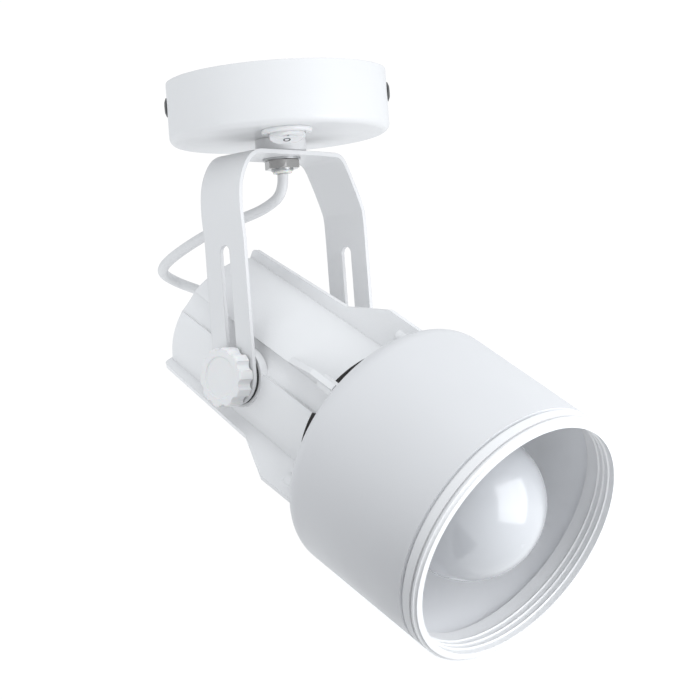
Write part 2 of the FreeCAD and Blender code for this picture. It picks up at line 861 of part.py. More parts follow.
def fin_sketch(body, degrees):
    """A sketch on the plane through the head's axis at the given angle."""
    sketch = new_sketch(body, "XZ_Plane")
    turn = FreeCAD.Rotation(FreeCAD.Vector(0, 1, 0), degrees.value)
    sketch.AttachmentOffset = FreeCAD.Placement(FreeCAD.Vector(0, 0, 0), turn)
    sketch.setExpression("AttachmentOffset.Rotation.Angle", degrees.text)
    return sketch


def add_fins(body):
    full, short = fin_angles()
    root_radius = D["barrel_bore"] + D["fin_root"]
    rear, front = -D["barrel_rear"], D["barrel_front"]
    end, top, tongue = D["shade_rear"], D["fin_height_front"], D["fin_tongue"]
    corner = D["rear_edge"]
    tail = [(top, end), (tongue, end), (tongue, front + 2.0), (root_radius, front - 1.0)]
    for degrees in full:
        sketch = fin_sketch(body, degrees)
        low = D["fin_height_rear"]
        outline(sketch, [(root_radius, rear), (low - corner, rear),
                         (low, rear + corner, corner, False),
                         (D["fin_height"], D["fin_flare_start"]), (top, D["fin_flare_end"])] + tail)
        pad(body, sketch, D["fin_thickness"], Midplane=True)
    for degrees in short:
        sketch = fin_sketch(body, degrees)
        outline(sketch, [(root_radius, D["short_fin_start"]),
                         (D["barrel_radius_front"], D["short_fin_start"]),
                         (top, D["short_fin_end"])] + tail)
        pad(body, sketch, D["fin_thickness"], Midplane=True)
    for degrees in full + short:
        sketch = new_sketch(body, "XY_Plane", end - D["foot_length"])
        circle(sketch, *turned(D["foot_place"], degrees), D["foot_radius"])
        pad(body, sketch, D["foot_length"])
    sketch = new_sketch(body, "XY_Plane", end)
    for degrees in full + short:
        circle(sketch, *turned(D["foot_place"], degrees), D["foot_screw"] + D["running_fit"])
    pocket(body, sketch, D["foot_screw_length"])


def post_angles():
    return [Dim(angle, repr(angle)) for angle in (90.0, 210.0, 330.0)]


def make_rear_housing():
    rear, front = -D["barrel_rear"], D["barrel_front"]
    back, nose = D["barrel_radius_rear"], D["barrel_radius_front"]
    bore, wall, edge = D["barrel_bore"], D["rear_wall"], D["rear_edge"]
    body = profile("rear_housing", [(0, rear), (back - edge, rear),
                                    (back, rear + edge, edge, False), (nose, front),
                                    (bore, front), (bore, rear + wall), (0, rear + wall)], head_body)
    floor, rim = D["channel_floor"], D["fin_height"]
    sketch = new_sketch(body, "XY_Plane", rear - 1.0)
    low, high = D["channel_low"], D["channel_high"]
    outline(sketch, [turned(floor, high), turned(floor, low) + (floor, False), turned(rim, low),
                     turned(rim, high) + (rim, True)])
    channel = pocket(body, sketch, (front - rear) + 2.0, Reversed=True)
    both_sides(body, [channel])
    for side in (1, -1):
        sketch = new_sketch(body, "YZ_Plane", pad_face * float(side))
        circle(sketch, ZERO, ZERO, D["pad_radius"])
        pad(body, sketch, D["pad_depth"], Reversed=side > 0)
        sketch = new_sketch(body, "YZ_Plane", pad_face * float(side))
        circle(sketch, ZERO, ZERO, D["pad_boss"])
        pad(body, sketch, D["insert_length"] + 1.0, Reversed=side > 0)
        sketch = new_sketch(body, "YZ_Plane", pad_face * float(side))
        circle(sketch, ZERO, ZERO, D["insert_radius"] + D["running_fit"])
        pocket(body, sketch, D["insert_length"], Reversed=side < 0)
    add_fins(body)
    for degrees in post_angles():
        sketch = new_sketch(body, "XY_Plane", rear + wall / 2)
        circle(sketch, *turned(D["post_place"], degrees), D["post_radius"])
        pad(body, sketch, D["carrier_place"] - rear - wall / 2)
    sketch = new_sketch(body, "XY_Plane", D["carrier_place"])
    for degrees in post_angles():
        circle(sketch, *turned(D["post_place"], degrees), D["foot_screw"] + D["running_fit"])
    pocket(body, sketch, D["foot_screw_length"])
    sketch = new_sketch(body, "XY_Plane", rear)
    circle(sketch, ZERO, ZERO, D["gland_radius"] + D["running_fit"])
    pocket(body, sketch, wall * 3, Midplane=True)
    return body


def head_screws(label, seat, places, length, face):
    """Pan head screws along the head's axis, their heads on the given face, pointing back."""
    shank, head = D["foot_screw"], D["foot_screw_head"]
    screws = []
    for number, (x, y) in enumerate(places, start=1):
        body = head_body("%s_%d" % (label, number))
        low = seat - length
        for start, radius, size in ((low, shank, length), (seat, head, shank)):
            sketch = new_sketch(body, "XY_Plane", start)
            circle(sketch, x, y, radius)
            pad(body, sketch, size)
        round_edges(body, shank * 0.5, lambda edge: is_circle(edge, head.value, face.value))
        screws.append(body)
    return part_group(label, screws)


def make_front_shade():
    outer, wall, shoulder = D["shade_radius"], D["shade_wall"], D["shade_shoulder"]
    rear, front, hole = D["shade_rear"], D["shade_front"], D["shade_opening"]
    inner = shoulder - wall
    body = profile("front_shade", [
        (hole, rear), (outer - shoulder, rear), (outer, rear + shoulder, shoulder, False),
        (outer, front), (outer - wall, front), (outer - wall, rear + shoulder),
        (outer - shoulder, rear + wall, inner, True), (hole, rear + wall)], head_body)
    full, short = fin_angles()
    sketch = new_sketch(body, "XY_Plane", rear)
    for degrees in full + short:
        circle(sketch, *turned(D["foot_place"], degrees), D["foot_screw"] + D["running_fit"])
    pocket(body, sketch, wall * 3, Midplane=True)
    seat = rear + wall
    places = [turned(D["foot_place"], degrees) for degrees in full + short]
    head_screws("shade_screws", seat, places, D["foot_screw_length"], seat + D["foot_screw"])
    return body


def make_front_ring():
    """The screwed ring in the mouth: a skirt inside the shade, a lip, and ridges in its bore."""
    outer, bore, edge = D["shade_radius"], D["ring_bore"], D["ring_edge"]
    skirt = outer - D["shade_wall"] - D["running_fit"]
    back, mouth = D["ring_back"], D["mouth"]
    groove, wide, deep = D["ring_groove_place"], D["ring_groove_width"], D["ring_groove_depth"]
    corners = [(bore, D["ring_rear"]), (skirt, D["ring_rear"]), (skirt, back), (outer, back),
               (outer, groove), (outer - deep, groove), (outer - deep, groove + wide),
               (outer, groove + wide), (outer, mouth - edge), (outer - edge, mouth, edge, True),
               (bore, mouth)]
    ridge, half = D["ring_ridge"], D["ring_ridge_width"] / 2
    for number in (2.0, 1.0, 0.0):
        middle = D["ring_ridge_place"] + D["ring_ridge_pitch"] * number
        corners += [(bore, middle + half), (bore - ridge, middle), (bore, middle - half)]
    return profile("front_ring", corners, head_body)


def make_carrier():
    seat, thick = D["carrier_place"], D["carrier_thickness"]
    radius = D["barrel_bore"] - D["free_fit"]
    body = profile("holder_carrier",
                   ring_corners(D["carrier_hole"], radius, seat, seat + thick), head_body)
    sketch = new_sketch(body, "XY_Plane", seat)
    posts = [turned(D["post_place"], degrees) for degrees in post_angles()]
    for spot in posts + holder_screw_places():
        circle(sketch, *spot, D["foot_screw"] + D["running_fit"])
    pocket(body, sketch, thick * 3, Midplane=True)
    head_screws("carrier_screws", seat + thick, posts, D["foot_screw_length"],
                seat + thick + D["foot_screw"])
    return body


def holder_screw_places():
    place = D["holder_screw_place"]
    return [(place, ZERO), (-place, ZERO)]


def make_lamp_holder():
    rear = D["carrier_place"] + D["carrier_thickness"]
    front, bore = D["holder_front"], D["holder_bore"]
    floor = rear + D["holder_base"]
    outer, flange = D["holder_radius"], D["holder_flange"]
    ledge = front - D["holder_flange_length"]
    edge = D["bezel_edge"]
    profile("lamp_holder", [
        (0, rear), (outer, rear), (outer, ledge), (flange, ledge), (flange, front - edge),
        (flange - edge, front, edge, True), (bore, front), (bore, floor), (0, floor)], head_body)
    gap, wall = D["running_fit"], D["shell_wall"]
    shell = D["cap_radius"] + D["shell_gap"]
    shelf = bore - gap
    profile("screw_shell_contact", [
        (D["contact_radius"] * 2, floor), (shelf, floor), (shelf, D["shell_front"]),
        (shell, D["shell_front"]), (shell, floor + wall), (D["contact_radius"] * 2, floor + wall)],
        head_body)
    tip = D["tip_rear"] - D["face_play"]
    contact, stem = D["contact_radius"], D["contact_stem"]
    profile("centre_contact", [
        (0, floor), (contact, floor), (contact, floor + wall), (stem, tip - wall),
        (stem, tip), (0, tip)], head_body)
    shank, head = D["foot_screw"], D["foot_screw_head"]
    seat = D["carrier_place"]
    screws = []
    for number, (x, y) in enumerate(holder_screw_places(), start=1):
        body = head_body("holder_screw_%d" % number)
        sketch = new_sketch(body, "XY_Plane", seat - shank)
        circle(sketch, x, y, head)
        pad(body, sketch, shank)
        sketch = new_sketch(body, "XY_Plane", seat)
        circle(sketch, x, y, shank)
        pad(body, sketch, D["carrier_thickness"])
        screws.append(body)
    part_group("holder_screws", screws)


def make_lamp():
    radius, front = D["lamp_radius"], D["lamp_front"]
    centre = front - radius
    skin, neck = D["lamp_skin"], D["collar_radius"]
    rear, join = D["collar_rear"], D["collar_front"]
    seam = D["lamp_seam"]
    seam_radius = root(radius * radius - (centre - seam) * (centre - seam))
    profile("lamp_globe", [
        (neck, join), (seam_radius, seam, Dim(90.0, "90.0"), True),
        (0, front, radius, False), (0, front - skin),
        (seam_radius - skin, seam, radius - skin, True),
        (neck - skin, join, Dim(91.4, "91.4"), False)], head_body)
    profile("lamp_collar", [
        (0, rear), (D["cap_radius"], rear), (neck, rear + 1.5), (neck, join), (neck - skin, join),
        (0, join)], head_body)
    cap, wall, low = D["cap_radius"], D["cap_wall"], D["cap_rear"]
    profile("lamp_cap", [
        (D["insulator_radius"], low), (cap, low + wall * 2), (cap, rear),
        (cap - wall, rear), (cap - wall, low + wall * 2), (D["insulator_radius"] - wall, low)],
        head_body)
    tip, flat = D["tip_radius"], D["tip_rear"] + D["tip_height"]
    profile("lamp_insulator", [
        (0, flat), (tip + 1.0, flat), (D["insulator_radius"] - wall, low),
        (D["insulator_radius"] - wall, low + wall * 2), (0, low + wall * 2)], head_body)
    profile("lamp_contact", [
        (0, D["tip_rear"]), (tip - 1.0, D["tip_rear"]), (tip, flat, tip * 0.4, False),
        (0, flat)], head_body)


def make_cord_gland():
    rear, wall = -D["barrel_rear"], D["rear_wall"]
    hole = D["cord_radius"] + D["running_fit"]
    radius, flange, lip = D["gland_radius"], D["gland_flange"], D["gland_lip"]
    nose, length = D["gland_nose"], D["gland_length"]
    inside = rear + wall + D["gland_nut_height"] + 1.0
    profile("cord_gland", [
        (hole, rear - length), (nose - 1.0, rear - length), (nose, rear - length + 1.0),
        (radius, rear - lip * 1.5), (flange - 0.6, rear - lip * 1.5), (flange, rear - lip),
        (flange, rear), (radius, rear), (radius, inside), (hole, inside)], head_body)
    hex_nut("gland_nut", head_body, rear + wall, D["gland_nut_flats"], D["gland_nut_height"],
            radius + D["running_fit"], D["nut_bevel"])
    tail = rear - length
    profile("cord_tail_head", [(0, tail), (D["cord_radius"], tail),
                               (D["cord_radius"], tail + D["cord_tail"]), (0, tail + D["cord_tail"])],
            head_body)
    low = nipple_end - D["bush_lip"]
    top = canopy_floor + D["nipple_above"]
    profile("cord_tail_canopy", [(0, low), (D["cord_radius"], low), (D["cord_radius"], top),
                                 (0, top)])


# The cord's free stretch, from the bush under the strap to the gland: points of its route that
# were read off the object, between its two ends.
CORD_POINTS = [(0, 0, -52.5), (-4, 9, -59.0), (-9, 22, -62.5), (-15, 36, -67.0), (-18, 50, -72.5),
               (-15, 65, -76.5), (-7, 79, -79.0), (4, 90, -81.0), (15, 91, -85.0),
               (17, 79, -89.5), (8, 67, -93.5)]


def cord_route():
    tilt = math.radians(D["head_tilt"].value)
    out = D["barrel_rear"].value + D["gland_length"].value
    pivot = FreeCAD.Vector(0, 0, pivot_z.value)
    backwards = FreeCAD.Vector(0, math.cos(tilt), math.sin(tilt))
    start = FreeCAD.Vector(0, 0, (nipple_end - D["bush_lip"]).value)
    points = [start] + [FreeCAD.Vector(*point) for point in CORD_POINTS]
    return points + [pivot + backwards * (out + 12.0), pivot + backwards * out]


def rounded_wire(points):
    """Straight runs joined by tangent arcs, each as large as its two runs allow."""
    edges, radii = [], []
    cursor = points[0]
    for before, corner, after in zip(points, points[1:], points[2:]):
        back, ahead = (before - corner), (after - corner)
        short = min(back.Length, ahead.Length)
        back.normalize()
        ahead.normalize()
        setback = short * 0.45
        half_turn = (math.pi - back.getAngle(ahead)) / 2
        radius = setback / math.tan(half_turn)
        radii.append(radius)
        enter, leave = corner + back * setback, corner + ahead * setback
        inward = (back + ahead).normalize()
        middle = corner + inward * (radius / math.cos(half_turn) - radius)
        edges.append(Part.LineSegment(cursor, enter).toShape())
        edges.append(Part.Arc(enter, middle, leave).toShape())
        cursor = leave
    edges.append(Part.LineSegment(cursor, points[-1]).toShape())
    return Part.Wire(edges), radii


def make_cord():
    points = cord_route()
    wire, radii = rounded_wire(points)
    radius = D["cord_radius"].value
    circle_edge = Part.makeCircle(radius, points[0], points[1] - points[0])
    tube = wire.makePipeShell([Part.Wire([circle_edge])], True, False)
    expected = math.pi * radius * radius * wire.Length
    print("cord length %.1f, volume over section times length %.4f" %
          (wire.Length, tube.Volume / expected))
    print("cord bend radii", " ".join("%.1f" % radius for radius in radii))
    cord = doc.addObject("Part::Feature", "cord")
    cord.Label = "cord"
    cord.Shape = tube
    made.append(cord)


def write_all():
    doc.recompute()
    failed = [item.Label for item in doc.Objects
              if "Invalid" in item.State or "Error" in item.State]
    for item in made:
        shape = item.Shape
        if shape.isNull() or not shape.isValid() or not shape.Solids:
            failed.append(item.Label)
    if failed:
        raise RuntimeError("not made: " + ", ".join(failed))
    os.makedirs("parts", exist_ok=True)
    for item in made:
        item.Shape.exportStep("parts/%s.step" % item.Label)
        print("%-22s %d solids, %.1f mm3" % (item.Label, len(item.Shape.Solids),
                                             item.Shape.Volume))


make_canopy_cup()
make_ceiling_bracket()
make_side_screws()
make_terminal_block()
make_terminal_screws()
make_switch_case()
make_switch_blades()
make_switch_rocker()
make_nipple()
make_nipple_stack()
make_nipple_bush()
make_strap()
for clamp_side, clamp_name in ((-1, "left"), (1, "right")):
    make_clamp(clamp_side, clamp_name)
make_rear_housing()
make_front_shade()
make_front_ring()
make_carrier()
make_lamp_holder()
make_lamp()
make_cord_gland()
make_cord()
write_all()
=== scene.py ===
import json
import math

import bmesh
import bpy
import numpy as np
from mathutils import Matrix, Vector


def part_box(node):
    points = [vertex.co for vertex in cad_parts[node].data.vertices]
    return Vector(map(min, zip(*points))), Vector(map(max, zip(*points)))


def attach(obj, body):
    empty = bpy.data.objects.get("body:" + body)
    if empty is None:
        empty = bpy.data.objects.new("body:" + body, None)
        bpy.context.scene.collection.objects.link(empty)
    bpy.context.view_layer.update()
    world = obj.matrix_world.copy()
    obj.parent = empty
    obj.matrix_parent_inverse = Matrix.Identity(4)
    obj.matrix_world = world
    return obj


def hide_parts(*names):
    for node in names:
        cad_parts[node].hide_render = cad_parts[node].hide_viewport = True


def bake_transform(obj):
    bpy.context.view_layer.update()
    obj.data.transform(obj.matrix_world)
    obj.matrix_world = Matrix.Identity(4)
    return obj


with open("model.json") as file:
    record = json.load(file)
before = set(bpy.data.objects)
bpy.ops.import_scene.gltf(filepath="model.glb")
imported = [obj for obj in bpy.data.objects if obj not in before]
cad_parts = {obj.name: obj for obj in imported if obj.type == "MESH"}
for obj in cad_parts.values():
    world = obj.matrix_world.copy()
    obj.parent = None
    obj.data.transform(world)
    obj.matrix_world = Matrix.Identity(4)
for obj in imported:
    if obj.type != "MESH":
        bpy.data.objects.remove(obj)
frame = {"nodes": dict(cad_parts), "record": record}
shown = bpy.context.scene.collection
nodes = frame["nodes"]
print("frame loaded")

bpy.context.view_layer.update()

# Camera, below the canopy and turned 46 degrees from the head's direction.
cameraSettings = {
    "place": (-0.700153, -0.706062, -0.160945),
    "right": (0.692535, -0.717429, -0.075441),
    "up": (0.026909, -0.078814, 0.996526),
    "back": (-0.720882, -0.692159, -0.035276),
    "lens": 113.14,
    "sensor": 36.0,
    "nearest": 0.02,
}
cameraData = bpy.data.cameras.new("camera")
cameraData.lens = cameraSettings["lens"]
cameraData.sensor_width = cameraSettings["sensor"]
cameraData.clip_start = cameraSettings["nearest"]
camera = bpy.data.objects.new("camera", cameraData)
shown.objects.link(camera)
axes = [cameraSettings[name] for name in ("right", "up", "back", "place")]
camera.matrix_world = Matrix([[axis[row] for axis in axes] for row in range(3)] + [[0, 0, 0, 1]])
bpy.context.scene.camera = camera
print("camera set")


# Materials: every coat has fine relief, a slow drift of tone and patchy gloss.
coatSettings = {
    "noiseSpan": (0.25, 0.75),  # what the noise really reaches
    "driftDetail": 3.0,
    "glossDetail": 4.0,
    "grainDetail": 2.0,
    "glossScale": 3.1,  # times the scale of the drift
    "edgeRadius": 0.0003,
    "edgeSamples": 4,
    "lacquerRoughness": 0.2,
    "scatterDepth": 0.002,
}


def newMaterial(name):
    material = bpy.data.materials.new(name)
    material.use_nodes = True
    tree = material.node_tree
    return material, tree, tree.nodes["Principled BSDF"]


def noiseAt(tree, scale, detail):
    place = tree.nodes.new("ShaderNodeTexCoord")
    noise = tree.nodes.new("ShaderNodeTexNoise")
    noise.inputs["Scale"].default_value = scale
    noise.inputs["Detail"].default_value = detail
    tree.links.new(place.outputs["Object"], noise.inputs["Vector"])
    return noise.outputs["Fac"]


def spread(tree, source, low, high):
    ranger = tree.nodes.new("ShaderNodeMapRange")
    ends = (*coatSettings["noiseSpan"], low, high)
    for name, value in zip(("From Min", "From Max", "To Min", "To Max"), ends):
        ranger.inputs[name].default_value = value
    tree.links.new(source, ranger.inputs["Value"])
    return ranger.outputs["Result"]


def blendColours(tree, factor, first, second):
    mix = tree.nodes.new("ShaderNodeMix")
    mix.data_type = "RGBA"
    mix.inputs["A"].default_value = (*first, 1)
    mix.inputs["B"].default_value = (*second, 1)
    tree.links.new(factor, mix.inputs["Factor"])
    return mix.outputs["Result"]


# Fine relief over normals that are softened at the edges.
def addBump(tree, shader, height, strength, distance):
    bump = tree.nodes.new("ShaderNodeBump")
    bump.inputs["Strength"].default_value = strength
    bump.inputs["Distance"].default_value = distance
    tree.links.new(height, bump.inputs["Height"])
    soft = tree.nodes.new("ShaderNodeBevel")
    soft.samples = coatSettings["edgeSamples"]
    soft.inputs["Radius"].default_value = coatSettings["edgeRadius"]
    tree.links.new(soft.outputs["Normal"], bump.inputs["Normal"])
    tree.links.new(bump.outputs["Normal"], shader.inputs["Normal"])


def coating(name, look):
    material, tree, shader = newMaterial(name)
    broad = noiseAt(tree, look["driftScale"], coatSettings["driftDetail"])
    tone = spread(tree, broad, 0.0, 1.0)
    tree.links.new(blendColours(tree, tone, look["colour"], look["drift"]),
                   shader.inputs["Base Color"])
    patches = noiseAt(tree, look["driftScale"] * coatSettings["glossScale"],
                      coatSettings["glossDetail"])
    tree.links.new(spread(tree, patches, *look["roughness"]), shader.inputs["Roughness"])
    fine = noiseAt(tree, look["grainScale"], coatSettings["grainDetail"])
    addBump(tree, shader, fine, look["grain"], look["grainDepth"])
    shader.inputs["Metallic"].default_value = look.get("metal", 0.0)
    shader.inputs["Coat Weight"].default_value = look.get("coat", 0.0)
    shader.inputs["Coat Roughness"].default_value = coatSettings["lacquerRoughness"]
    shader.inputs["Subsurface Weight"].default_value = look.get("subsurface", 0.0)
    shader.inputs["Subsurface Scale"].default_value = coatSettings["scatterDepth"]
    return material


looks = {
    "white_paint": {"colour": (0.70, 0.70, 0.705), "drift": (0.68, 0.68, 0.685),
                    "driftScale": 18, "roughness": (0.34, 0.46), "grainScale": 1500,
                    "grain": 0.22, "grainDepth": 0.0001, "coat": 0.12},
    "cast_white": {"colour": (0.78, 0.78, 0.785), "drift": (0.755, 0.755, 0.76),
                   "driftScale": 24, "roughness": (0.38, 0.52), "grainScale": 1100,
                   "grain": 0.35, "grainDepth": 0.00016, "coat": 0.08},
    "zinc_steel": {"colour": (0.50, 0.51, 0.52), "drift": (0.42, 0.42, 0.42),
                   "driftScale": 160, "roughness": (0.26, 0.42), "grainScale": 1800,
                   "grain": 0.15, "grainDepth": 0.00005, "metal": 1.0},
    "bright_nut": {"colour": (0.46, 0.45, 0.44), "drift": (0.36, 0.35, 0.34),
                   "driftScale": 120, "roughness": (0.06, 0.16), "grainScale": 900,
                   "grain": 0.08, "grainDepth": 0.00005, "metal": 1.0},
    "brass": {"colour": (0.62, 0.45, 0.19), "drift": (0.52, 0.36, 0.14),
              "driftScale": 120, "roughness": (0.24, 0.4), "grainScale": 1500,
              "grain": 0.15, "grainDepth": 0.00005, "metal": 1.0},
    "black_rubber": {"colour": (0.018, 0.018, 0.018), "drift": (0.03, 0.03, 0.03),
                     "driftScale": 90, "roughness": (0.6, 0.8), "grainScale": 1700,
                     "grain": 0.3, "grainDepth": 0.0001},
    "white_switch": {"colour": (0.72, 0.72, 0.725), "drift": (0.70, 0.70, 0.705),
                     "driftScale": 60, "roughness": (0.2, 0.3), "grainScale": 1300,
                     "grain": 0.1, "grainDepth": 0.00006, "subsurface": 0.1},
    "white_knob": {"colour": (0.77, 0.77, 0.77), "drift": (0.75, 0.75, 0.75),
                   "driftScale": 50, "roughness": (0.36, 0.48), "grainScale": 1600,
                   "grain": 0.25, "grainDepth": 0.0001, "subsurface": 0.1},
    "clear_insulation": {"colour": (0.74, 0.73, 0.70), "drift": (0.7, 0.69, 0.65),
                         "driftScale": 60, "roughness": (0.3, 0.45), "grainScale": 1300,
                         "grain": 0.15, "grainDepth": 0.00006, "subsurface": 0.3},
    "cord_jacket": {"colour": (0.68, 0.68, 0.685), "drift": (0.65, 0.65, 0.655),
                    "driftScale": 70, "roughness": (0.34, 0.48), "grainScale": 1400,
                    "grain": 0.2, "grainDepth": 0.00008},
    "porcelain": {"colour": (0.80, 0.79, 0.76), "drift": (0.74, 0.73, 0.70),
                  "driftScale": 80, "roughness": (0.35, 0.5), "grainScale": 1500,
                  "grain": 0.25, "grainDepth": 0.0001, "subsurface": 0.1},
    "opal_glass": {"colour": (0.52, 0.53, 0.55), "drift": (0.51, 0.52, 0.54),
                   "driftScale": 30, "roughness": (0.07, 0.13), "grainScale": 400,
                   "grain": 0.03, "grainDepth": 0.00005, "coat": 0.7},
    "lamp_plastic": {"colour": (0.79, 0.79, 0.78), "drift": (0.76, 0.76, 0.75),
                     "driftScale": 50, "roughness": (0.25, 0.35), "grainScale": 1300,
                     "grain": 0.12, "grainDepth": 0.00006},
    "cap_metal": {"colour": (0.7, 0.7, 0.7), "drift": (0.62, 0.62, 0.61),
                  "driftScale": 100, "roughness": (0.18, 0.32), "grainScale": 1500,
                  "grain": 0.1, "grainDepth": 0.00005, "metal": 1.0},
    "black_glass": {"colour": (0.01, 0.01, 0.012), "drift": (0.02, 0.02, 0.022),
                    "driftScale": 80, "roughness": (0.08, 0.2), "grainScale": 900,
                    "grain": 0.05, "grainDepth": 0.00005},
    "black_screw": {"colour": (0.07, 0.07, 0.07), "drift": (0.1, 0.1, 0.1),
                    "driftScale": 160, "roughness": (0.3, 0.45), "grainScale": 1500,
                    "grain": 0.15, "grainDepth": 0.00005, "metal": 0.6},
    "mark_ink": {"colour": (0.03, 0.03, 0.035), "drift": (0.05, 0.05, 0.055),
                 "driftScale": 900, "roughness": (0.4, 0.5), "grainScale": 1500,
                 "grain": 0.1, "grainDepth": 0.00003},
}
materials = {name: coating(name, look) for name, look in looks.items()}

for entry in frame["record"]["subparts"]:
    mesh = nodes[entry["node"]].data
    mesh.materials.clear()
    mesh.materials.append(materials[entry["material_slot"]])
nodes["canopy_side_screws"].data.materials[0] = materials["black_screw"]


# The head's axis at rest, from which the colours of the housing and the shade are measured.
headAxis = {"pivot": (0, 0, -0.1348), "way": (0, -0.8425, -0.5388)}


def vectorNode(tree, operation, first, second, output="Vector"):
    node = tree.nodes.new("ShaderNodeVectorMath")
    node.operation = operation
    for number, value in enumerate((first, second)):
        if isinstance(value, tuple):
            node.inputs[number].default_value = value
        elif value is not None:
            tree.links.new(value, node.inputs[number])
    return node.outputs[output]


def valueNode(tree, operation, first, second):
    node = tree.nodes.new("ShaderNodeMath")
    node.operation = operation
    for number, value in enumerate((first, second)):
        if isinstance(value, float):
            node.inputs[number].default_value = value
        elif value is not None:
            tree.links.new(value, node.inputs[number])
    return node.outputs["Value"]


# The material's own colour gives way to another where the mask is 1.
def recolour(material, mask, colour):
    tree = material.node_tree
    shader = tree.nodes["Principled BSDF"]
    mix = tree.nodes.new("ShaderNodeMix")
    mix.data_type = "RGBA"
    tree.links.new(shader.inputs["Base Color"].links[0].from_socket, mix.inputs["A"])
    mix.inputs["B"].default_value = (*colour, 1)
    tree.links.new(mask, mix.inputs["Factor"])
    tree.links.new(mix.outputs["Result"], shader.inputs["Base Color"])


def bothOf(tree, first, second):
    return valueNode(tree, "MULTIPLY", first, second)


# Each point's offset from the pivot, and how far along the head's axis it lies.
def fromPivot(tree, spot):
    offset = vectorNode(tree, "SUBTRACT", spot.outputs["Object"], headAxis["pivot"])
    return offset, vectorNode(tree, "DOT_PRODUCT", offset, headAxis["way"], "Value")


# The housing's front face and bore are painted dark, as painted shade in the gap between the
# housing and the lamp shade.
housingSettings = {"end": 0.0459, "outer": 0.0363, "floor": -0.0455, "bore": 0.0316,
                   "dark": (0.03, 0.027, 0.024)}


# The distance from the axis is the length of the offset's cross product with its direction.
def housingPaintedShadeMask(tree, look):
    offset, along = fromPivot(tree, tree.nodes.new("ShaderNodeTexCoord"))
    crossed = vectorNode(tree, "CROSS_PRODUCT", offset, headAxis["way"])
    away = vectorNode(tree, "LENGTH", crossed, None, "Value")
    face = bothOf(tree, valueNode(tree, "GREATER_THAN", along, look["end"]),
                  valueNode(tree, "LESS_THAN", away, look["outer"]))
    bore = bothOf(tree, valueNode(tree, "GREATER_THAN", along, look["floor"]),
                  valueNode(tree, "LESS_THAN", away, look["bore"]))
    return valueNode(tree, "MAXIMUM", face, bore)


# The housing's coat, with the painted shade on its front face and bore.
housingMaterial = coating("cast_white_housing", looks["cast_white"])
recolour(housingMaterial, housingPaintedShadeMask(housingMaterial.node_tree, housingSettings),
         housingSettings["dark"])
nodes["rear_housing"].data.materials[0] = housingMaterial

# The lamp shade's paint is a darker copy of the canopy's, as painted shade, and its inward faces
# are painted brighter, as painted light inside it.
shadeSettings = {"colour": (0.655, 0.655, 0.665), "drift": (0.635, 0.635, 0.645),
                 "inward": 0.01, "forward": -0.3, "bright": (0.87, 0.875, 0.89)}


# A face looks inwards where its normal, without the share along the axis, runs against the
# offset from the axis.
def shadeInsidePaintedLightMask(tree, look):
    spot = tree.nodes.new("ShaderNodeTexCoord")
    offset, along = fromPivot(tree, spot)
    normal = spot.outputs["Normal"]
    facing = vectorNode(tree, "DOT_PRODUCT", normal, headAxis["way"], "Value")
    outward = valueNode(tree, "SUBTRACT",
                        vectorNode(tree, "DOT_PRODUCT", normal, offset, "Value"),
                        valueNode(tree, "MULTIPLY", facing, along))
    return bothOf(tree, valueNode(tree, "LESS_THAN", outward, look["inward"]),
                  valueNode(tree, "GREATER_THAN", facing, look["forward"]))


# The lamp shade's coat: the darker copy is painted shade, the bright inside is painted light.
shadeMaterial = coating("white_paint_shade", dict(
    looks["white_paint"], colour=shadeSettings["colour"], drift=shadeSettings["drift"]))
recolour(shadeMaterial, shadeInsidePaintedLightMask(shadeMaterial.node_tree, shadeSettings), shadeSettings["bright"])
nodes["front_shade"].data.materials[0] = shadeMaterial

# Each side screw's head gets a dark cross in its middle, painted shade standing in for a cross
# recess; the head itself stays flat.
crossSettings = {"height": sum(corner[2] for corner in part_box("canopy_side_screws")) / 2,
                 "across": (math.sqrt(0.5), math.sqrt(0.5), 0.0),
                 "thin": 0.00032, "long": 0.0015, "dark": (0.004, 0.004, 0.004)}


# Two bars: near the middle one way and within a length the other way.
def crossPaintedShadeMask(tree, look):
    spot = tree.nodes.new("ShaderNodeTexCoord").outputs["Object"]
    split = tree.nodes.new("ShaderNodeSeparateXYZ")
    tree.links.new(spot, split.inputs["Vector"])
    level = valueNode(tree, "SUBTRACT", split.outputs["Z"], look["height"])
    upright = valueNode(tree, "ABSOLUTE", level, None)
    sidelong = vectorNode(tree, "DOT_PRODUCT", spot, look["across"], "Value")
    sideways = valueNode(tree, "ABSOLUTE", sidelong, None)
    bars = [bothOf(tree, valueNode(tree, "LESS_THAN", narrow, look["thin"]),
                   valueNode(tree, "LESS_THAN", broad, look["long"]))
            for narrow, broad in ((upright, sideways), (sideways, upright))]
    return valueNode(tree, "MAXIMUM", *bars)


# The screws' coat takes the painted shade of the cross recess.
recolour(materials["black_screw"], crossPaintedShadeMask(materials["black_screw"].node_tree, crossSettings),
         crossSettings["dark"])
print("materials made")


# New pieces take the place of CAD nodes whose form the photograph shows finer.
def addMesh(name, points, faces, material, smooth=True):
    mesh = bpy.data.meshes.new(name)
    mesh.from_pydata(np.asarray(points).tolist(), [], faces)
    mesh.polygons.foreach_set("use_smooth", np.full(len(mesh.polygons), smooth))
    mesh.update()
    piece = bpy.data.objects.new(name, mesh)
    shown.objects.link(piece)
    mesh.materials.append(material)
    return piece


# A flat piece: its middle plus and minus a half side each way.
def addPlate(name, middle, across, upward, material):
    middle, across, upward = [np.array(value, float) for value in (middle, across, upward)]
    corners = [middle + a * across + b * upward for a, b in ((-1, -1), (1, -1), (1, 1), (-1, 1))]
    return addMesh(name, corners, [[0, 1, 2, 3]], material, smooth=False)


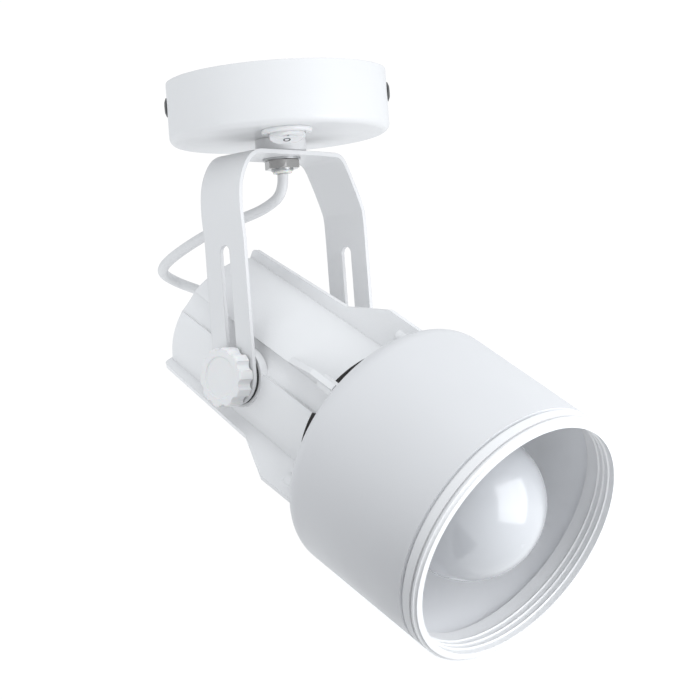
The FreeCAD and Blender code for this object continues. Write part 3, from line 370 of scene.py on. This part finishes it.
# Each point joins the next one in its row and the two over them in the next row.
def gridFaces(rows, columns, wrap=True, offset=0):
    row, column = np.meshgrid(np.arange(rows - 1), np.arange(columns if wrap else columns - 1),
                              indexing="ij")
    after = (column + 1) % columns
    quads = np.stack([row * columns + column, row * columns + after,
                      (row + 1) * columns + after, (row + 1) * columns + column], axis=-1)
    return (quads.reshape(-1, 4) + offset).tolist()


cordSettings = {
    "diameter": 0.0049,
    "around": 32,
    "resolution": 24,
    # The route's points from the bush under the strap to the gland.
    "points": [(0, 0, -0.04386), (0, 0, -0.0525), (-0.004, 0.009, -0.059), (-0.009, 0.022, -0.0625),
               (-0.015, 0.036, -0.067), (-0.018, 0.050, -0.0725), (-0.015, 0.065, -0.0765),
               (-0.007, 0.079, -0.079), (0.004, 0.090, -0.081), (0.015, 0.091, -0.085),
               (0.017, 0.079, -0.0895), (0.008, 0.067, -0.0935), (0, 0.058971, -0.097086),
               (0, 0.048862, -0.103551)],
}


# The points of a smooth line, of the third order, that control points pull along.
def splineLine(points, resolution):
    curve = bpy.data.curves.new("route", "CURVE")
    curve.dimensions = "3D"
    spline = curve.splines.new("NURBS")
    spline.points.add(len(points) - 1)
    for spot, place in zip(spline.points, points):
        spot.co = (*place, 1)
    spline.order_u = 3
    spline.use_endpoint_u = True
    spline.resolution_u = resolution
    holder = bpy.data.objects.new("route", curve)
    shown.objects.link(holder)
    line = bpy.data.meshes.new_from_object(holder)
    places = np.empty(len(line.vertices) * 3)
    line.vertices.foreach_get("co", places)
    bpy.data.objects.remove(holder)
    bpy.data.meshes.remove(line)
    return places.reshape(-1, 3)


# A circle carried along the line: line + radius * (cos(turn) * side + sin(turn) * up), where
# each side is the last one made square to the line again, so that the tube doesn't twist.
def tubeAlong(name, line, radius, around, material):
    steps = np.gradient(line, axis=0)
    steps /= np.linalg.norm(steps, axis=1)[:, None]
    side = np.cross(steps[0], (1.0, 0.0, 0.0))
    sides = []
    for step in steps:
        side = side - step * side.dot(step)
        side = side / np.linalg.norm(side)
        sides.append(side)
    sides = np.array(sides)
    ups = np.cross(steps, sides)
    turn = np.linspace(0, 2 * math.pi, around, endpoint=False)
    rings = (line[:, None] + radius * (np.cos(turn)[None, :, None] * sides[:, None]
                                       + np.sin(turn)[None, :, None] * ups[:, None]))
    faces = gridFaces(len(line), around)
    last = (len(line) - 1) * around
    faces.append(list(range(around))[::-1])
    faces.append(list(range(last, last + around)))
    return addMesh(name, rings.reshape(-1, 3), faces, material)


# The cord is two lengths that meet where it lies furthest back.
cordLine = splineLine(cordSettings["points"], cordSettings["resolution"])
turnAt = int(np.argmax(cordLine[:, 1]))
cordPieces = []
for name, line in (("cordUpper", cordLine[:turnAt + 1]), ("cordLower", cordLine[turnAt:])):
    piece = tubeAlong(name, line, cordSettings["diameter"] / 2, cordSettings["around"],
                      materials["cord_jacket"])
    length = float(np.linalg.norm(np.diff(line, axis=0), axis=1).sum())
    cordPieces.append((piece, line, length))
    print(name, "length", round(length, 4))

(upper, upperLine, _), (lower, lowerLine, _) = cordPieces
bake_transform(upper)
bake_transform(lower)
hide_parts("cord")
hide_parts("cord")
print("cord made")


strapSettings = {
    "half": 0.001,
    "width": 0.0125,
    "arm": 0.0385,
    "pivot": headAxis["pivot"][2],
    "slotHalf": 0.003,
    "slotTop": -0.0798,
    "across": 7,
    "roundSteps": 19,
    "slotSteps": 14,
    "resolution": 9,
    "merge": 2e-6,
    "sliver": 1e-6,
    "edge": 0.00028,
    "edgeSegments": 3,
    "edgeAngle": math.radians(50),
    # Control points of the bent middle line over each arm, from the arm to the plate.
    "left": [(-0.0385, -0.0760), (-0.0385, -0.0735), (-0.0396, -0.0600), (-0.0380, -0.0470),
             (-0.0300, -0.0359), (-0.0170, -0.0359), (0.0, -0.0359)],
    "right": [(0.0385, -0.0760), (0.0385, -0.0640), (0.0374, -0.0590), (0.0300, -0.0428),
              (0.0262, -0.0366), (0.0200, -0.0359), (0.0, -0.0359)],
}


# Rows of one arm from its round end up to the slot's upper end: height, outer edge, slot edge.
# An edge is the width, or the slot's half, less what a circle takes off at its round ends.
def armRows(look):
    pivot, width, slot, top = look["pivot"], look["width"], look["slotHalf"], look["slotTop"]
    turn = np.linspace(0, math.pi / 2, look["roundSteps"])
    heights = np.concatenate([pivot - width * np.cos(turn), pivot - slot * np.cos(turn),
                              np.linspace(pivot, top, look["slotSteps"]),
                              top + slot * np.sin(turn)])
    heights = np.unique(np.round(heights, 7))
    below = np.clip(pivot - heights, 0, None)
    outer = np.sqrt(np.clip(width ** 2 - below ** 2, 0, None))
    beyond = np.clip(heights - top, 0, None) + below
    return heights, outer, np.sqrt(np.clip(slot ** 2 - beyond ** 2, 0, None))


# The plate is a middle line in X and Z, moved by half the thickness along its normal for each
# face, with rows in Y from the slot's edge to the outer edge on each side.
def strapPiece(look):
    heights, outer, slot = armRows(look)
    sides = []
    for side, sign in (("left", -1), ("right", 1)):
        bent = splineLine([(x, 0, z) for x, z in look[side]], look["resolution"])[1:]
        x = np.concatenate([np.full(len(heights), sign * look["arm"]), bent[:, 0]])
        z = np.concatenate([heights, bent[:, 2]])
        edge = np.concatenate([outer, np.full(len(bent), look["width"])])
        sides.append((x, z, edge, np.concatenate([slot, np.zeros(len(bent))])))
    x, z, edge, hole = [np.concatenate([first, second[-2::-1]]) for first, second in zip(*sides)]
    ahead = np.stack([np.gradient(x), np.gradient(z)], axis=1)
    ahead /= np.linalg.norm(ahead, axis=1)[:, None]
    normal = np.stack([-ahead[:, 1], ahead[:, 0]], axis=1)
    count, across = len(x), look["across"]
    share = np.linspace(0, 1, across)
    points, faces = [], []
    for half in (1, -1):
        y = half * (hole[:, None] + (edge - hole)[:, None] * share)
        for face in (1, -1):
            moved = face * look["half"] * normal
            sheet = np.stack([np.repeat((x + moved[:, 0])[:, None], across, axis=1), y,
                              np.repeat((z + moved[:, 1])[:, None], across, axis=1)], axis=-1)
            faces += gridFaces(count, across, wrap=False, offset=len(points) * count * across)
            points.append(sheet.reshape(-1, 3))
    # Walls join the two faces along the outer edge, and along the slot where it is open.
    size = count * across
    row = np.arange(count - 1)
    slotRows = row[(hole[:-1] > 0) | (hole[1:] > 0)]
    for start in (0, 2 * size):
        for column, rows in ((across - 1, row), (0, slotRows)):
            first = start + rows * across + column
            faces += np.stack([first, first + across, first + across + size, first + size],
                              axis=-1).tolist()
    piece = addMesh("strapBent", np.concatenate(points), faces, materials["white_paint"])
    work = bmesh.new()
    work.from_mesh(piece.data)
    bmesh.ops.remove_doubles(work, verts=work.verts, dist=look["merge"])
    bmesh.ops.dissolve_degenerate(work, edges=work.edges, dist=look["sliver"])
    bmesh.ops.recalc_face_normals(work, faces=work.faces)
    work.to_mesh(piece.data)
    work.free()
    piece.data.polygons.foreach_set("use_smooth", np.ones(len(piece.data.polygons), bool))
    edges = piece.modifiers.new("edges", "BEVEL")
    edges.width, edges.segments = look["edge"], look["edgeSegments"]
    edges.angle_limit = look["edgeAngle"]
    edges.harden_normals = True
    return piece


strap = strapPiece(strapSettings)
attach(strap, "yoke")
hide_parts("yoke_strap")
print("strap made")


# A ring turned about a line along X: each corner (radius, X) goes round a circle, and the last
# circle joins the first, because its faces count on from the start again.
def turnedAlongX(name, corners, middle, around, material):
    turn = np.linspace(0, 2 * math.pi, around, endpoint=False)
    rings = [np.stack([np.full(around, x), middle[0] + radius * np.cos(turn),
                       middle[1] + radius * np.sin(turn)], axis=1) for radius, x in corners]
    faces = np.asarray(gridFaces(len(rings) + 1, around)) % (len(rings) * around)
    return addMesh(name, np.concatenate(rings), faces.tolist(), material)


padSettings = {"outer": 0.0124, "bore": 0.0033, "edge": 0.0004, "edgeSteps": 5, "around": 72}
for side in ("left", "right"):
    node = "friction_washer_" + side
    low, high = [np.array(corner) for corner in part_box(node)]
    back, front, edge = low[0], high[0], padSettings["edge"]
    outer, bore = padSettings["outer"], padSettings["bore"]
    bend = np.linspace(0, math.pi / 2, padSettings["edgeSteps"])
    corners = [(bore, back), (bore, front)]
    corners += [(outer - edge + edge * math.sin(turn), front - edge + edge * math.cos(turn))
                for turn in bend]
    corners += [(outer - edge + edge * math.cos(turn), back + edge - edge * math.sin(turn))
                for turn in bend]
    washer = turnedAlongX("washer" + side.capitalize(), corners[::-1],
                          ((low[1] + high[1]) / 2, (low[2] + high[2]) / 2),
                          padSettings["around"], materials["black_rubber"])
    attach(washer, "slider")
    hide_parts(node)
print("washers made")


markSettings = {"ring": (0.00105, 0.0017), "bar": (0.0003, 0.0017), "lift": 0.00004,
                "around": 48, "facing": -0.85}


# The two switch marks lie on the rocker's two flat halves: of the faces that look down, those
# with one normal are added up, and the two largest sums give an area, a normal and a middle.
def rockerHalves():
    mesh = nodes["switch_rocker"].data
    count = len(mesh.polygons)
    normals, centres, areas = np.empty(count * 3), np.empty(count * 3), np.empty(count)
    mesh.polygons.foreach_get("normal", normals)
    mesh.polygons.foreach_get("center", centres)
    mesh.polygons.foreach_get("area", areas)
    normals, centres = normals.reshape(-1, 3), centres.reshape(-1, 3)
    down = normals[:, 2] < markSettings["facing"]
    kinds, index = np.unique(np.round(normals[down], 2), axis=0, return_inverse=True)
    index = index.reshape(-1)
    found = []
    for number in range(len(kinds)):
        chosen = index == number
        weight = areas[down][chosen]
        found.append((weight.sum(), normals[down][chosen].mean(axis=0),
                      np.average(centres[down][chosen], axis=0, weights=weight)))
    found.sort(key=lambda item: -item[0])
    print("rocker halves in mm2", [round(half[0] * 1e6, 1) for half in found[:2]])
    return found[:2]


lowerHalf, upperHalf = sorted(rockerHalves(), key=lambda item: item[2][2])
# The rocker's tilt axis lies along the crossing of its two flat halves.
along = np.cross(lowerHalf[1], upperHalf[1])
along /= np.linalg.norm(along)
for kind, (_, normal, middle) in (("ring", lowerHalf), ("bar", upperHalf)):
    normal = normal / np.linalg.norm(normal)
    out = np.cross(normal, along)
    base = middle + normal * markSettings["lift"]
    if kind == "ring":
        turn = np.linspace(0, 2 * math.pi, markSettings["around"], endpoint=False)
        rings = [base + radius * (np.cos(turn)[:, None] * along + np.sin(turn)[:, None] * out)
                 for radius in markSettings["ring"]]
        mark = addMesh("markRing", np.concatenate(rings), gridFaces(2, markSettings["around"]),
                       materials["mark_ink"])
    else:
        wide, long = markSettings["bar"]
        mark = addPlate("markBar", base, wide * along, long * out, materials["mark_ink"])
    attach(mark, "rocker")
print("marks made")


# Stage: a white floor far below, a card, four lights and a sky.
stageSettings = {"floor": -1.5, "half": 14.0, "tone": (0.98, 0.98, 0.98), "roughness": 0.9,
                 "glow": 0.24}
stageMaterial, _, stageShader = newMaterial("stage")
stageShader.inputs["Base Color"].default_value = (*stageSettings["tone"], 1)
stageShader.inputs["Roughness"].default_value = stageSettings["roughness"]
stageShader.inputs["Emission Color"].default_value = (1, 1, 1, 1)
stageShader.inputs["Emission Strength"].default_value = stageSettings["glow"]
floor = addPlate("floor", (0, 0, stageSettings["floor"]), (stageSettings["half"], 0, 0),
                 (0, stageSettings["half"], 0), stageMaterial)

# A dark card out of the camera's sight gives the shade its soft dark band.
cardSettings = {"centre": (-0.15, -0.085, -0.345), "aim": (0, -0.12, -0.215), "half": 0.125,
                "tone": (0.05, 0.05, 0.06), "roughness": 0.9}
toHead = (Vector(cardSettings["aim"]) - Vector(cardSettings["centre"])).normalized()
cardAcross = toHead.cross(Vector((0, 0, 1))).normalized()
cardUp = cardAcross.cross(toHead)
cardMaterial, _, cardShader = newMaterial("card")
cardShader.inputs["Base Color"].default_value = (*cardSettings["tone"], 1)
cardShader.inputs["Roughness"].default_value = cardSettings["roughness"]
card = addPlate("card", cardSettings["centre"], cardAcross * cardSettings["half"],
                cardUp * cardSettings["half"], cardMaterial)
card.visible_camera = False


# A light is placed and aimed from an origin, by offsets along three directions.
def addLight(name, origin, directions, look):
    place, target = [origin + sum((way * share for way, share in zip(directions, offset)),
                                  Vector((0, 0, 0))) for offset in (look["place"], look["aim"])]
    light = bpy.data.lights.new(name, "AREA")
    light.shape = "RECTANGLE"
    light.size, light.size_y = look["size"]
    light.energy = look["power"]
    light.color = look["colour"]
    holder = bpy.data.objects.new(name, light)
    shown.objects.link(holder)
    holder.rotation_mode = "QUATERNION"
    holder.rotation_quaternion = (target - place).to_track_quat("-Z", "Y")
    holder.location = place
    holder.visible_camera = False


# The room's lights stand beside the camera: across, upward and back from the object's middle.
roomLights = {
    "key": {"place": (0.28, 1.0, 0.55), "aim": (0, 0, 0), "size": (0.75, 0.9), "power": 3.6,
            "colour": (0.95, 0.975, 1)},
    "fill": {"place": (-0.75, -0.25, 0.8), "aim": (0, 0, 0), "size": (0.8, 1.0), "power": 1.9,
             "colour": (0.95, 0.975, 1)},
    "side": {"place": (0.9, 0.2, 0.7), "aim": (0, 0, 0), "size": (0.7, 0.9), "power": 1.0,
             "colour": (0.95, 0.975, 1)},
}
right, up, back = [Vector(cameraSettings[name]) for name in ("right", "up", "back")]
objectMiddle = Vector((0, -0.05, -0.13))
for name, look in roomLights.items():
    addLight(name, objectMiddle, (right, up, back), look)

# One light looks into the shade: across, upward and along the head's way from the pivot.
insideLight = {"place": (0.13, 0.13, 0.36), "aim": (-0.02, -0.03, 0.12), "size": (0.3, 0.3),
               "power": 0.8, "colour": (0.95, 0.97, 1)}
addLight("inside", Vector(headAxis["pivot"]), (right, up, Vector(headAxis["way"])), insideLight)

# The camera sees plain white, and the object is lit by a faintly cool sky.
skySettings = {"seen": ((1, 1, 1), 1.03), "lighting": ((0.935, 0.968, 1.0), 0.86)}
world = bpy.data.worlds.new("world")
bpy.context.scene.world = world
world.use_nodes = True
skyTree = world.node_tree
seen = skyTree.nodes["Background"]
lighting = skyTree.nodes.new("ShaderNodeBackground")
for sky, (colour, strength) in ((seen, skySettings["seen"]), (lighting, skySettings["lighting"])):
    sky.inputs["Color"].default_value = (*colour, 1)
    sky.inputs["Strength"].default_value = strength
rays = skyTree.nodes.new("ShaderNodeLightPath")
chosen = skyTree.nodes.new("ShaderNodeMixShader")
skyTree.links.new(rays.outputs["Is Camera Ray"], chosen.inputs["Fac"])
skyTree.links.new(lighting.outputs["Background"], chosen.inputs[1])
skyTree.links.new(seen.outputs["Background"], chosen.inputs[2])
skyTree.links.new(chosen.outputs["Shader"], skyTree.nodes["World Output"].inputs["Surface"])
bpy.context.scene.view_settings.view_transform = "Standard"
print("stage set")
